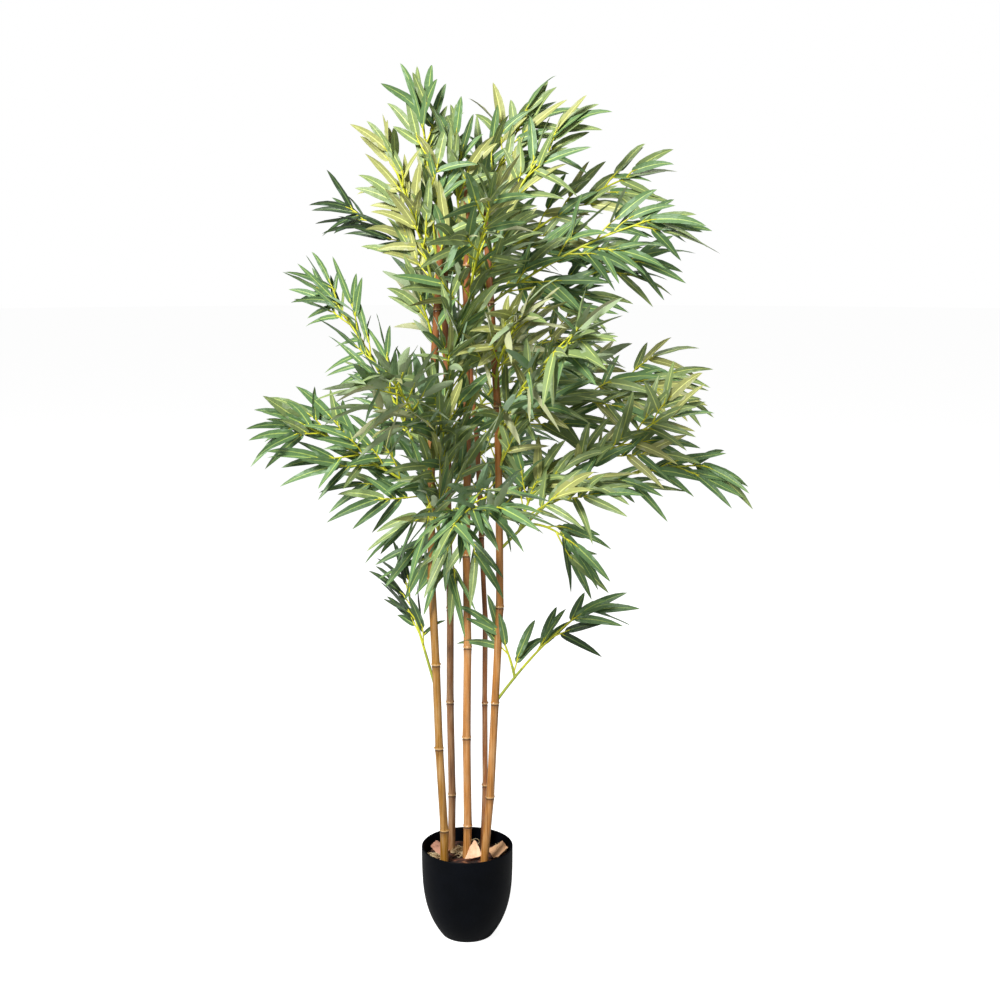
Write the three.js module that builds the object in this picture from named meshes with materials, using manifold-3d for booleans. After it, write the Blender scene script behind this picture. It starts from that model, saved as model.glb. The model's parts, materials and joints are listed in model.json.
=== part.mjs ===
// An artificial bamboo in its pot: five canes set in a filled plastic pot, with moulded sprays of
// leaves plugged into them. Millimetres, +Z up, origin at the centre of the pot's flat underside,
// front towards -Y. A spray's compass is 0 degrees along +X and 90 degrees along +Y.
import Module from 'manifold-3d';
import * as THREE from 'three';
import { mergeVertices } from 'three/addons/utils/BufferGeometryUtils.js';

const wasm = await Module();
wasm.setup();

// ---- Driving dimensions ----------------------------------------------------------------------
const PLANT_HEIGHT = 1500; // underside of the pot to the topmost leaf tip
const GAP = 0.3; // clearance between neighbouring pieces

const POT_HEIGHT = 163;
const POT_RIM_RADIUS = 80.5;
const POT_FOOT_RADIUS = 46;
const POT_WALL = 2.8;
const POT_FLOOR = 4;
const POT_ROUNDING = 3.6; // how quickly the wall turns upright above the foot
const POT_SEGMENTS = 20;
const POT_LEVELS = 6; // rings up each side of the wall
const POT_CROWDING = 1.6; // how much closer together the lower of them lie
const FILLING_TOP = POT_HEIGHT - 25;

const CANE_SIDES = 7;
const CANE_TAPER = 0.2; // share of the radius lost from foot to tip
const CANE_KINK = 1; // each joint sits this far off the cane's line, to alternate sides
const RING_HEIGHT = 4; // the swollen ring at each joint
const RING_SWELL = 0.9;
const LAST_RING = 40; // no ring closer to the tip than this

const STEM_SIDES = 5;
const STEM_STEP = 55; // longest straight stretch of a bent stem
const STEM_RADIUS = 2.6; // where a spray leaves its cane
const STEM_END_RADIUS = 1.5;
const STEM_SOCKET = 14; // how far a stem runs on inside its leaves
const STEM_ARCH = 1 / 3; // a stem arches over its ends by no more than this share of its reach

const LEAF_SIDES = 8; // corners round a mass of leaves
const LEAF_RINGS = 9; // rings along it
const LEAF_GAP = 1.2; // clearance between two masses
const LEAF_FULLEST = 0.75; // below 1, a mass is widest nearer its stem than its tip
const LEAF_BLUNTNESS = 0.7; // below 1, it swells and narrows quickly at its ends
const LEAF_NOTCH = 0.34; // depth of the notches between the points along both edges
const LEAF_LUMPS = 0.28; // unevenness of the flat faces
const LEAF_WAVES = 3; // waves of that unevenness round a mass
const LEAF_DRIFT = 2.4; // how far they turn from one ring to the next, in radians
const LEAF_SWEEP = 0.5; // how far the points lean towards the tip, in ring spacings

const CARD_THICKNESS = 1.2;
const CARD_SKEW = 0.14; // share of its length by which one top corner is torn short
const CARD_STEP = 0.1; // share of its length by which one bottom corner stands back

const FINISHES = {
  pot: { color: 0x0d1016, roughness: 0.55 },
  filling: { color: 0x4a2f24, roughness: 0.95 },
  gold: { color: 0xc08f4c, roughness: 0.45 },
  copper: { color: 0x9a5c38, roughness: 0.45 },
  card: { color: 0xc49a78, roughness: 0.9 },
  stem: { color: 0x8a9a3a, roughness: 0.5 },
  leaves: { color: 0x5a7a48, roughness: 0.6 },
};

// Canes: foot and tip in plan, how far the middle bows out, where along it the bow is widest
// (1 is halfway, more is higher), tip height, foot radius, first joint and joint spacing.
const CANES = {
  cane_1: {
    foot: [-39, -20], tip: [-36, -16], bow: [-21, -9], widest: 1.25,
    top: 1250, radius: 7.2, ring: 199, spacing: 151, finish: 'gold',
  },
  cane_2: {
    foot: [-28, 30], tip: [-35, 44], bow: [1, 6], widest: 1,
    top: 1190, radius: 6.6, ring: 244, spacing: 170, finish: 'copper',
  },
  cane_3: {
    foot: [0, 2], tip: [3, 0], bow: [0, 2], widest: 1,
    top: 1310, radius: 7.2, ring: 198, spacing: 163, finish: 'gold',
  },
  cane_4: {
    foot: [31, -20], tip: [33, -12], bow: [26, -8], widest: 1,
    top: 1270, radius: 7, ring: 261, spacing: 171, finish: 'gold',
  },
  cane_5: {
    foot: [28, 30], tip: [-4, 52], bow: [17, 6], widest: 1,
    top: 1150, radius: 4.9, ring: 261, spacing: 150, finish: 'copper',
  },
};

// Sprays: what each grows from and where (a height on a cane, a fraction along another spray), its
// compass, reach and tip height, the angle at which it leaves, the bare length of its stem, and
// the width, thickness and edgeways turn of its leaves. One with no bare length shows no stem.
const SPRAYS = {
  low_right: {
    on: 'cane_4', at: 434, compass: -8, reach: 218, top: 640, rise: 55,
    bare: 96, width: 54, thick: 14, turn: 75,
  },
  low_left: {
    on: 'cane_1', at: 459, compass: 147, reach: 84, top: 708, rise: 66,
    bare: 60, width: 76, thick: 26, turn: 75,
  },
  left_low: {
    on: 'cane_3', at: 745, compass: 197, reach: 344, top: 956, rise: 37,
    bare: 50, width: 160, thick: 30, turn: 78,
  },
  left_middle: {
    on: 'cane_1', at: 810, compass: 158, reach: 236, top: 1184, rise: 66,
    bare: 60, width: 116, thick: 26, turn: 70,
  },
  right_low: {
    on: 'cane_4', at: 700, compass: -7, reach: 336, top: 966, rise: 48,
    bare: 80, width: 130, thick: 14, turn: 78,
  },
  right_branch: {
    on: 'right_low', at: 0.24, compass: 4, reach: 346, top: 836, rise: 28,
    bare: 40, width: 90, thick: 14, turn: 80,
  },
  right_drop: {
    on: 'right_low', at: 0.14, compass: -2, reach: 122, top: 662, rise: 22,
    bare: 24, width: 100, thick: 14, turn: 80,
  },
  right_middle: {
    on: 'cane_5', at: 850, compass: 10, reach: 400, top: 976, rise: 37,
    bare: 70, width: 130, thick: 14, turn: 74,
  },
  right_high: {
    on: 'cane_4', at: 1055, compass: 9, reach: 318, top: 1192, rise: 42,
    bare: 45, width: 104, thick: 14, turn: 72,
  },
  right_upper: {
    on: 'cane_3', at: 1080, compass: -12, reach: 378, top: 1262, rise: 40,
    bare: 50, width: 120, thick: 14, turn: 70,
  },
  right_top: {
    on: 'cane_3', at: 1140, compass: 13, reach: 350, top: 1344, rise: 43,
    bare: 50, width: 112, thick: 14, turn: 70,
  },
  left_back: {
    on: 'cane_2', at: 1165, compass: 153, reach: 244, top: 1298, rise: 32,
    bare: 50, width: 72, thick: 20, turn: 60,
  },
  front_low: {
    on: 'cane_3', at: 750, compass: -86, reach: 340, top: 806, rise: 26,
    bare: 60, width: 190, thick: 18, turn: 25,
  },
  front_left: {
    on: 'cane_1', at: 860, compass: -102, reach: 300, top: 1030, rise: 42,
    bare: 60, width: 160, thick: 20, turn: 35,
  },
  front_right: {
    on: 'cane_4', at: 900, compass: -64, reach: 318, top: 1090, rise: 44,
    bare: 0, width: 160, thick: 16, turn: 35,
  },
  back_low: {
    on: 'cane_5', at: 730, compass: 78, reach: 350, top: 900, rise: 40,
    bare: 0, width: 180, thick: 20, turn: 25,
  },
  back_right: {
    on: 'cane_5', at: 930, compass: 50, reach: 340, top: 1050, rise: 42,
    bare: 0, width: 150, thick: 16, turn: 40,
  },
  back_left: {
    on: 'cane_2', at: 800, compass: 116, reach: 330, top: 960, rise: 42,
    bare: 0, width: 160, thick: 24, turn: 30,
  },
  front_stem: {
    on: 'cane_1', at: 641, compass: -50, reach: 118, top: 1150, rise: 82,
    bare: 60, width: 150, thick: 28, turn: 10,
  },
  top_left: {
    on: 'cane_1', at: 1175, compass: 176, reach: 36, top: PLANT_HEIGHT, rise: 83,
    bare: 0, width: 104, thick: 30, turn: 76,
  },
  top_outer: {
    on: 'cane_1', at: 1130, compass: 182, reach: 98, top: 1422, rise: 64,
    bare: 0, width: 90, thick: 30, turn: 65,
  },
  top_middle: {
    on: 'cane_3', at: 1150, compass: -120, reach: 34, top: 1446, rise: 84,
    bare: 0, width: 110, thick: 30, turn: 10,
  },
  top_right: {
    on: 'cane_3', at: 1225, compass: 16, reach: 142, top: 1476, rise: 66,
    bare: 0, width: 106, thick: 18, turn: 65,
  },
  top_far: {
    on: 'cane_4', at: 1180, compass: -4, reach: 156, top: 1450, rise: 66,
    bare: 0, width: 96, thick: 14, turn: 65,
  },
  inner_left: {
    on: 'cane_1', at: 1050, compass: -152, reach: 54, top: 1186, rise: 62,
    bare: 0, width: 66, thick: 24, turn: 60,
  },
  front_high: {
    on: 'cane_3', at: 1080, compass: -78, reach: 236, top: 1315, rise: 52,
    bare: 0, width: 150, thick: 20, turn: 25,
  },
  back_high: {
    on: 'cane_3', at: 1100, compass: 74, reach: 280, top: 1345, rise: 52,
    bare: 0, width: 150, thick: 20, turn: 25,
  },
  back_middle: {
    on: 'cane_2', at: 990, compass: 100, reach: 250, top: 1200, rise: 50,
    bare: 0, width: 150, thick: 24, turn: 25,
  },
  middle_right: {
    on: 'cane_4', at: 850, compass: -22, reach: 110, top: 1010, rise: 58,
    bare: 0, width: 150, thick: 20, turn: 70,
  },
  right_inner: {
    on: 'cane_4', at: 765, compass: -14, reach: 134, top: 850, rise: 48,
    bare: 0, width: 126, thick: 16, turn: 74,
  },
  front_middle: {
    on: 'cane_4', at: 985, compass: -66, reach: 150, top: 1150, rise: 54,
    bare: 0, width: 130, thick: 18, turn: 30,
  },
  low_fringe: {
    on: 'cane_1', at: 770, compass: -124, reach: 92, top: 706, rise: 10,
    bare: 0, width: 110, thick: 18, turn: 30,
  },
  low_middle: {
    on: 'cane_3', at: 785, compass: 252, reach: 66, top: 620, rise: -30,
    bare: 30, width: 150, thick: 20, turn: 15,
  },
  low_inner: {
    on: 'low_right', at: 0.22, compass: 168, reach: 64, top: 616, rise: 66,
    bare: 0, width: 64, thick: 14, turn: 75,
  },
};

// Torn pieces of card on the filling: compass of the way each leans up, how far from the axis its
// lower edge lies, its sideways shift, length, width, share of width lost at the top, and lean. The
// outer two lean on the pot's wall; the middle one stands between two canes.
const CARDS = {
  card_left: { compass: 152, inner: 40, shift: 0, length: 33, width: 40, waste: 0.3, lean: 20 },
  card_middle: { compass: 90, inner: -24, shift: -15, length: 40, width: 17, waste: 0.5, lean: 42 },
  card_right: { compass: 20, inner: 42, shift: 0, length: 32, width: 42, waste: 0.25, lean: 26 },
};

// ---- Helpers ---------------------------------------------------------------------------------
const { degToRad, lerp } = THREE.MathUtils;

// A closed geometry as a solid that can be joined and cut, with shared corners merged and slivers
// at the poles left out.
function solid(geometry) {
  const bare = geometry.clone();
  bare.deleteAttribute('normal');
  bare.deleteAttribute('uv');
  const merged = mergeVertices(bare);
  const corners = merged.index.array;
  const kept = [];
  for (let i = 0; i < corners.length; i += 3) {
    const [a, b, c] = corners.slice(i, i + 3);
    if (a !== b && b !== c && c !== a) {
      kept.push(a, b, c);
    }
  }
  const vertProperties = Float32Array.from(merged.attributes.position.array);
  const triVerts = Uint32Array.from(kept);
  return new wasm.Manifold(new wasm.Mesh({ numProp: 3, vertProperties, triVerts }));
}

// The largest body of a solid, as a geometry.
function largestBody(whole) {
  const bodies = whole.decompose().sort((a, b) => b.volume() - a.volume());
  const { vertProperties, triVerts } = bodies[0].getMesh();
  const geometry = new THREE.BufferGeometry();
  geometry.setAttribute('position', new THREE.BufferAttribute(vertProperties, 3));
  geometry.setIndex(new THREE.BufferAttribute(triVerts, 1));
  geometry.computeVertexNormals();
  return geometry;
}

// A profile of [radius, height] pairs turned round the Z axis.
function turned(profile, segments) {
  const points = profile.map(([radius, height]) => new THREE.Vector2(radius, height));
  return new THREE.LatheGeometry(points, segments).rotateX(Math.PI / 2);
}

// Moves every corner of a geometry by a rule that rewrites the corner in place.
function reshape(geometry, rule) {
  const place = geometry.attributes.position;
  const corner = new THREE.Vector3();
  for (let i = 0; i < place.count; i += 1) {
    corner.fromBufferAttribute(place, i);
    rule(corner, i);
    place.setXYZ(i, corner.x, corner.y, corner.z);
  }
  return geometry;
}

function piece(name, geometry, finish) {
  const material = new THREE.MeshStandardMaterial({ ...FINISHES[finish], metalness: 0 });
  const mesh = new THREE.Mesh(geometry, material);
  mesh.name = name;
  return mesh;
}

// ---- Pot and filling -------------------------------------------------------------------------
// The wall stands on a flat round foot, turns up quickly and is nearly upright at the rim.
function potRadius(height) {
  const left = 1 - height / POT_HEIGHT;
  return lerp(POT_FOOT_RADIUS, POT_RIM_RADIUS, 1 - left ** POT_ROUNDING);
}

// Heights from the floor to the filling's surface, closer together where the wall curves most.
function levels(from, to) {
  const shares = Array.from({ length: POT_LEVELS }, (_, i) => i / (POT_LEVELS - 1));
  return shares.map((share) => lerp(from, to, share ** POT_CROWDING));
}

function potShape() {
  const outside = levels(0, POT_HEIGHT).map((z) => [potRadius(z), z]);
  const inside = levels(POT_FLOOR, FILLING_TOP).map((z) => [potRadius(z) - POT_WALL, z]);
  const lip = [POT_RIM_RADIUS - POT_WALL, POT_HEIGHT];
  return turned([[0, 0], ...outside, lip, ...inside.reverse(), [0, POT_FLOOR]], POT_SEGMENTS);
}

function fillingShape() {
  const side = levels(POT_FLOOR, FILLING_TOP).map((z) => [potRadius(z) - POT_WALL - GAP, z]);
  side[0][1] += GAP;
  return turned([[0, POT_FLOOR + GAP], ...side, [0, FILLING_TOP]], POT_SEGMENTS);
}

// ---- Canes -----------------------------------------------------------------------------------
const CANE_FOOT = FILLING_TOP + GAP;

// The corners of a cane's centre line: its foot, each joint, and its tip.
function jointsOf(cane) {
  const heights = [CANE_FOOT];
  for (let z = cane.ring; z < cane.top - LAST_RING; z += cane.spacing) {
    heights.push(z);
  }
  heights.push(cane.top);
  return heights.map((z, i) => {
    const share = (z - CANE_FOOT) / (cane.top - CANE_FOOT);
    const bulge = Math.sin(Math.PI * share ** cane.widest);
    const kink = i % 2 ? CANE_KINK : -CANE_KINK;
    const x = lerp(cane.foot[0], cane.tip[0], share) + cane.bow[0] * bulge + kink;
    const y = lerp(cane.foot[1], cane.tip[1], share) + cane.bow[1] * bulge;
    return new THREE.Vector3(x, y, z);
  });
}

// The centre line is straight between joints.
function caneCentre(cane, height) {
  const joints = jointsOf(cane);
  const above = Math.max(1, joints.findIndex((joint) => joint.z >= height));
  const low = joints[above - 1];
  const high = joints[above];
  return low.clone().lerp(high, (height - low.z) / (high.z - low.z));
}

function caneRadius(cane, height) {
  return cane.radius * (1 - CANE_TAPER * ((height - CANE_FOOT) / (cane.top - CANE_FOOT)));
}

// A cane with a swollen ring at each joint. With spare room it is a plain sleeve round the cane.
function caneShape(cane, spare = 0) {
  const joints = jointsOf(cane).map((joint) => joint.z);
  const profile = [];
  joints.forEach((z, i) => {
    const radius = caneRadius(cane, z);
    const ring = i > 0 && i < joints.length - 1;
    if (spare || !ring) {
      profile.push([radius + (spare ? RING_SWELL + spare : 0), z]);
    } else {
      profile.push([radius, z - RING_HEIGHT], [radius + RING_SWELL, z], [radius, z + RING_HEIGHT]);
    }
  });
  profile[0][1] -= spare;
  profile[profile.length - 1][1] += spare;
  const ends = [[0, profile[0][1]], ...profile, [0, profile[profile.length - 1][1]]];
  return reshape(turned(ends, CANE_SIDES), (corner) => {
    const centre = caneCentre(cane, THREE.MathUtils.clamp(corner.z, CANE_FOOT, cane.top));
    corner.x += centre.x;
    corner.y += centre.y;
  });
}

// ---- Sprays ----------------------------------------------------------------------------------
// The line of a spray's stem, from the middle of what it grows on to the tip of its last leaf.
// It lies in one upright plane, and leaves at its own angle before it bends over to the tip.
function stemLine(spray) {
  const cane = CANES[spray.on];
  const start = cane ? caneCentre(cane, spray.at) : stemLine(SPRAYS[spray.on]).getPointAt(spray.at);
  const angle = degToRad(spray.compass);
  const out = new THREE.Vector3(Math.cos(angle), Math.sin(angle), 0);
  const bend = start.clone().addScaledVector(out, spray.reach / 2);
  bend.z += (Math.tan(degToRad(spray.rise)) * spray.reach) / 2;
  const tip = start.clone().addScaledVector(out, spray.reach);
  tip.z = spray.top;
  bend.z = Math.min(bend.z, Math.max(start.z, tip.z) + spray.reach * STEM_ARCH);
  return new THREE.QuadraticBezierCurve3(start, bend, tip);
}

// Bends a geometry that stands along +Z, with heights in millimetres, onto a spray's line. Local
// x lies across the spray and local y over it, both turned about the line by the edgeways angle.
function bendOnto(geometry, spray) {
  const line = stemLine(spray);
  const length = line.getLength();
  const angle = degToRad(spray.compass);
  const across = new THREE.Vector3(-Math.sin(angle), Math.cos(angle), 0);
  const turn = degToRad(spray.turn);
  return reshape(geometry, (corner) => {
    const share = corner.z / length;
    const inside = THREE.MathUtils.clamp(share, 0, 1);
    const along = line.getTangentAt(inside);
    const over = new THREE.Vector3().crossVectors(along, across);
    const x = corner.x * Math.cos(turn) - corner.y * Math.sin(turn);
    const y = corner.x * Math.sin(turn) + corner.y * Math.cos(turn);
    corner.copy(line.getPointAt(inside)).addScaledVector(along, (share - inside) * length);
    corner.addScaledVector(across, x).addScaledVector(over, y);
  });
}

// A tapering stem that ends inside its leaves.
function stemShape(spray, spare = 0) {
  const length = spray.bare + STEM_SOCKET + spare;
  const steps = Math.ceil(length / STEM_STEP);
  const profile = Array.from({ length: steps + 1 }, (_, i) => {
    const share = i / steps;
    return [lerp(STEM_RADIUS, STEM_END_RADIUS, share) + spare, share * length];
  });
  return bendOnto(turned([[0, 0], ...profile, [0, length]], STEM_SIDES), spray);
}

// A thin uneven pad of leaves. Its half width swells from a narrow start and narrows to a pointed
// tip; along both edges every second ring is drawn in, which leaves points that lean forwards, and
// its faces rise and fall in waves.
function leavesShape(spray, index, spare = 0) {
  const length = stemLine(spray).getLength() - spray.bare;
  const ball = new THREE.SphereGeometry(1, LEAF_SIDES, LEAF_RINGS).rotateX(-Math.PI / 2);
  const pad = reshape(ball, (corner, i) => {
    const ring = Math.floor(i / (LEAF_SIDES + 1));
    const turn = Math.PI - ((i % (LEAF_SIDES + 1)) / LEAF_SIDES) * 2 * Math.PI;
    const share = ring / LEAF_RINGS;
    const swell = Math.sin(Math.PI * share ** LEAF_FULLEST) ** LEAF_BLUNTNESS;
    const edge = Math.cos(turn) ** 2;
    const side = Math.cos(turn) > 0 ? 0 : 1;
    const point = (ring + side + index) % 2;
    const drawnIn = 1 - LEAF_NOTCH * edge * (1 - point);
    const lump = 1 + LEAF_LUMPS * Math.sin(LEAF_WAVES * turn + LEAF_DRIFT * ring + index);
    if (ring === 0) {
      corner.set(0, 0, spray.bare - spare);
    } else if (ring === LEAF_RINGS) {
      corner.set(0, 0, spray.bare + length + spare);
    } else {
      corner.x = Math.cos(turn) * ((spray.width / 2) * swell * drawnIn + spare);
      corner.y = Math.sin(turn) * ((spray.thick / 2) * swell * lump + spare);
      corner.z = spray.bare + ((ring + LEAF_SWEEP * edge * point) / LEAF_RINGS) * length;
    }
  });
  return bendOnto(pad, spray);
}

// ---- Cards -----------------------------------------------------------------------------------
function cardShape(card) {
  const half = card.width / 2;
  const outline = new THREE.Shape([
    new THREE.Vector2(0, -half * (1 - card.waste)),
    new THREE.Vector2(card.length, -half),
    new THREE.Vector2(card.length * (1 - CARD_SKEW), half * (1 - card.waste)),
    new THREE.Vector2(card.length * CARD_STEP, half),
  ]);
  const plate = new THREE.ExtrudeGeometry(outline, { depth: CARD_THICKNESS, bevelEnabled: false });
  plate.rotateY(-degToRad(card.lean));
  plate.translate(card.inner, card.shift, FILLING_TOP + GAP);
  return plate.rotateZ(degToRad(card.compass));
}

// ---- Assembly --------------------------------------------------------------------------------
const plant = new THREE.Group();
plant.add(piece('pot', potShape(), 'pot'));
plant.add(piece('filling', fillingShape(), 'filling'));

// Sleeves round what is already placed, which later pieces are cut by.
const caneSleeves = Object.values(CANES).map((cane) => solid(caneShape(cane, GAP)));

Object.entries(CANES).forEach(([name, cane]) => {
  plant.add(piece(name, caneShape(cane), cane.finish));
});

Object.entries(CARDS).forEach(([name, card]) => {
  const cut = caneSleeves.reduce((rest, sleeve) => rest.subtract(sleeve), solid(cardShape(card)));
  plant.add(piece(name, largestBody(cut), 'card'));
});

const sleeves = [...caneSleeves];
const stemmed = Object.entries(SPRAYS).filter(([, spray]) => spray.bare > 0);
stemmed.forEach(([name, spray]) => {
  const cut = sleeves.reduce((rest, sleeve) => rest.subtract(sleeve), solid(stemShape(spray)));
  plant.add(piece(`stem_${name}`, largestBody(cut), 'stem'));
  sleeves.push(solid(stemShape(spray, GAP)));
});

Object.entries(SPRAYS).forEach(([name, spray], index) => {
  const whole = solid(leavesShape(spray, index));
  const cut = sleeves.reduce((rest, sleeve) => rest.subtract(sleeve), whole);
  plant.add(piece(`leaves_${name}`, largestBody(cut), 'leaves'));
  sleeves.push(solid(leavesShape(spray, index, LEAF_GAP)));
});

export default plant;
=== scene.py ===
import json
import math

import bpy
import numpy as np
from bpy.props import FloatProperty, FloatVectorProperty, IntProperty, PointerProperty, StringProperty
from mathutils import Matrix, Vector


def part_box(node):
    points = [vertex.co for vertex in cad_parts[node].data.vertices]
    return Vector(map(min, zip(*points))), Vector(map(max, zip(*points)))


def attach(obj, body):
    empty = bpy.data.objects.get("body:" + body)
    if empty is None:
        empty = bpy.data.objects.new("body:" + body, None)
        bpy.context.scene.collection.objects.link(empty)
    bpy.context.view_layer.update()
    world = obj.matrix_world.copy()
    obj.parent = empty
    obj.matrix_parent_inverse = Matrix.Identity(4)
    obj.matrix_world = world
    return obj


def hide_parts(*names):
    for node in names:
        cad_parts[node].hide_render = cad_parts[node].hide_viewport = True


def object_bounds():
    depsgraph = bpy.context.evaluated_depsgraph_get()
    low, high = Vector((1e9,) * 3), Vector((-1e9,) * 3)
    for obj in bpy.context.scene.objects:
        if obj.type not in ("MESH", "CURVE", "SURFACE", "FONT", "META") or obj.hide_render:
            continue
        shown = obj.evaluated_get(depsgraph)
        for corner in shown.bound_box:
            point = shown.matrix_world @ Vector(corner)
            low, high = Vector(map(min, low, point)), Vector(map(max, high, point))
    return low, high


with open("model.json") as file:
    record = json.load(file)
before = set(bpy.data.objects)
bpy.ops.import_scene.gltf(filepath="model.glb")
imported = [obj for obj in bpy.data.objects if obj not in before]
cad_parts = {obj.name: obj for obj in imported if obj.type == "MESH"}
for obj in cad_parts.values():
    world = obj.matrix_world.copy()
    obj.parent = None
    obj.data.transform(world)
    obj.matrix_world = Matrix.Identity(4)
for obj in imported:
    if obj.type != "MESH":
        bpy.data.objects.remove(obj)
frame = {"nodes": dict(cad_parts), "record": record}

bl_info = {
    "name": "Artificial Bamboo in a Pot",
    "version": (1, 0, 0),
    "blender": (4, 5, 0),
    "location": "3D View > Sidebar > Bamboo",
    "description": "Canes, moulded sprays with fabric leaves and a filled pot",
    "category": "Object",
}

MM = 0.001
UP = np.array([0.0, 0.0, 1.0])
CAD_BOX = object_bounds()

# Sockets of a colour Mix node, whose names are shared between its types.
MIX_FACTOR, MIX_A, MIX_B, MIX_RESULT = 0, 6, 7, 2

CANES = sorted(name for name in frame["nodes"] if name.startswith("cane_"))
LEAVES = sorted(name for name in frame["nodes"] if name.startswith("leaves_"))
STEMS = sorted(name for name in frame["nodes"] if name.startswith("stem_"))
CARDS = sorted(name for name in frame["nodes"] if name.startswith("card_"))


# ---- Colour and node helpers -------------------------------------------------------------------
def linear(colour, alpha=1.0):
    """An sRGB hex colour as linear red, green, blue and alpha."""
    parts = [int(colour.lstrip("#")[i : i + 2], 16) / 255 for i in (0, 2, 4)]
    parts = [c / 12.92 if c <= 0.04045 else ((c + 0.055) / 1.055) ** 2.4 for c in parts]
    return (*parts, alpha)


def fill(tree, node, inputs):
    """Sets each named input of a node, or links it where the value is another node's output."""
    for name, value in inputs.items():
        if isinstance(value, bpy.types.NodeSocket):
            tree.links.new(value, node.inputs[name])
        else:
            node.inputs[name].default_value = value


def add(tree, kind, inputs=None, **settings):
    """Adds one node with its settings. Each input is a value to set or another node's output."""
    node = tree.nodes.new(kind)
    for name, value in settings.items():
        setattr(node, name, value)
    fill(tree, node, inputs or {})
    return node


def toned(colour, towards, share):
    """A hex colour moved this share of the way to another, in linear light."""
    return tuple(a + (b - a) * share for a, b in zip(linear(colour), linear(towards)))


def ramp(tree, factor, stops):
    """A colour ramp through (place, colour) stops, read at factor."""
    node = add(tree, "ShaderNodeValToRGB", {"Fac": factor})
    band = node.color_ramp
    while len(band.elements) < len(stops):
        band.elements.new(0.5)
    for element, (place, colour) in zip(band.elements, stops):
        element.position = place
        element.color = linear(colour) if isinstance(colour, str) else colour
    return node.outputs["Color"]


def new_material(name):
    """A named material with its node tree, principled shader and Object coordinates."""
    material = bpy.data.materials.new(name)
    material.use_nodes = True
    tree = material.node_tree
    shader = tree.nodes["Principled BSDF"]
    place = add(tree, "ShaderNodeTexCoord").outputs["Object"]
    return material, tree, shader, place


# ---- Mesh helpers ------------------------------------------------------------------------------
def unit(vectors):
    """Vectors scaled to length one along the last axis."""
    return vectors / np.maximum(np.linalg.norm(vectors, axis=-1, keepdims=True), 1e-12)


def from_axis(points):
    """Distance of points from the upright axis through the origin."""
    return np.hypot(points[..., 0], points[..., 1])


def along_path(places, known, points):
    """Points at these places along a path, straight between the points at its known places."""
    return np.stack([np.interp(places, known, points[:, i]) for i in range(3)], axis=-1)


def bell(distance, middle, width):
    """A smooth hump of height one: e^-((distance - middle) / width)^2."""
    return np.exp(-(((distance - middle) / width) ** 2))


def put_mesh(name, points, faces, materials, face_slots=None, sharp_degrees=180.0):
    """Makes one object from points (count, 3) and a list of face arrays (count, corners)."""
    mesh = bpy.data.meshes.new(name)
    points = np.asarray(points, dtype=np.float32).reshape(-1, 3)
    corners = np.concatenate([np.asarray(f, dtype=np.int32).ravel() for f in faces])
    sizes = np.concatenate([np.full(len(f), f.shape[1], dtype=np.int32) for f in faces])
    mesh.vertices.add(len(points))
    mesh.vertices.foreach_set("co", points.ravel())
    mesh.loops.add(len(corners))
    mesh.loops.foreach_set("vertex_index", corners)
    mesh.polygons.add(len(sizes))
    mesh.polygons.foreach_set("loop_start", np.cumsum(sizes, dtype=np.int32) - sizes)
    for material in materials:
        mesh.materials.append(material)
    if face_slots is not None:
        mesh.polygons.foreach_set("material_index", np.asarray(face_slots, dtype=np.int32))
    mesh.update(calc_edges=True)
    mesh.polygons.foreach_set("use_smooth", np.ones(len(sizes), dtype=bool))
    mesh.set_sharp_from_angle(angle=math.radians(sharp_degrees))
    if mesh.validate():
        raise RuntimeError(f"{name} has faces that had to be mended")
    piece = bpy.data.objects.new(name, mesh)
    bpy.context.collection.objects.link(piece)
    return piece


def put_mark(piece, name, values):
    """Stores one number for each corner of a piece, for its material to read."""
    mark = piece.data.attributes.new(name, "FLOAT", "POINT")
    mark.data.foreach_set("value", np.asarray(values, dtype=np.float32))


def settle(piece, slot, *nodes):
    """A piece rides on the plant and stands for its CAD nodes, which it hides; slot is not used."""
    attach(piece, "root")
    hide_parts(*nodes)


def grid_faces(rows, columns, closed_columns=True):
    """Quads between neighbouring rows of a grid, whose columns join up if it is closed."""
    row, column = np.meshgrid(
        np.arange(rows - 1), np.arange(columns if closed_columns else columns - 1), indexing="ij"
    )
    after = (column + 1) % columns
    quads = [row * columns + column, row * columns + after]
    quads += [(row + 1) * columns + after, (row + 1) * columns + column]
    return np.stack(quads, axis=-1).reshape(-1, 4)


def repeated(faces, count, step):
    """The faces of one shape for each of count shapes, whose points lie step apart."""
    faces = np.asarray(faces)
    start = (np.arange(count) * step)[:, None, None]
    return (faces[None] + start).reshape(-1, faces.shape[-1])


def circle(sides):
    """Evenly spaced angles, and their points on a level circle of radius one."""
    angle = 2 * np.pi * np.arange(sides) / sides
    return angle, np.stack([np.cos(angle), np.sin(angle), np.zeros(sides)], axis=-1)


def tubes(paths, radii, sides):
    """Points and faces of many closed tubes. A tube's ring at each point of its path is
    centre + radius (cos a u + sin a v), with u and v square to the path, and flat ends."""
    paths = np.asarray(paths, dtype=float)
    count, rings = paths.shape[:2]
    along = unit(np.gradient(paths, axis=1))
    spare = np.eye(3)[np.argmin(np.abs(along.mean(axis=1)), axis=1)][:, None, :]
    u = unit(np.cross(along, spare))
    v = np.cross(along, u)
    _, level = circle(sides)
    ring = level[:, :1] * u[:, :, None, :] + level[:, 1:2] * v[:, :, None, :]
    points = paths[:, :, None, :] + np.asarray(radii)[:, :, None, None] * ring
    cap = np.arange(sides)
    caps = np.stack([cap[::-1], cap + (rings - 1) * sides])
    faces = [repeated(face, count, rings * sides) for face in (grid_faces(rings, sides), caps)]
    return points.reshape(-1, 3), faces


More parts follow.
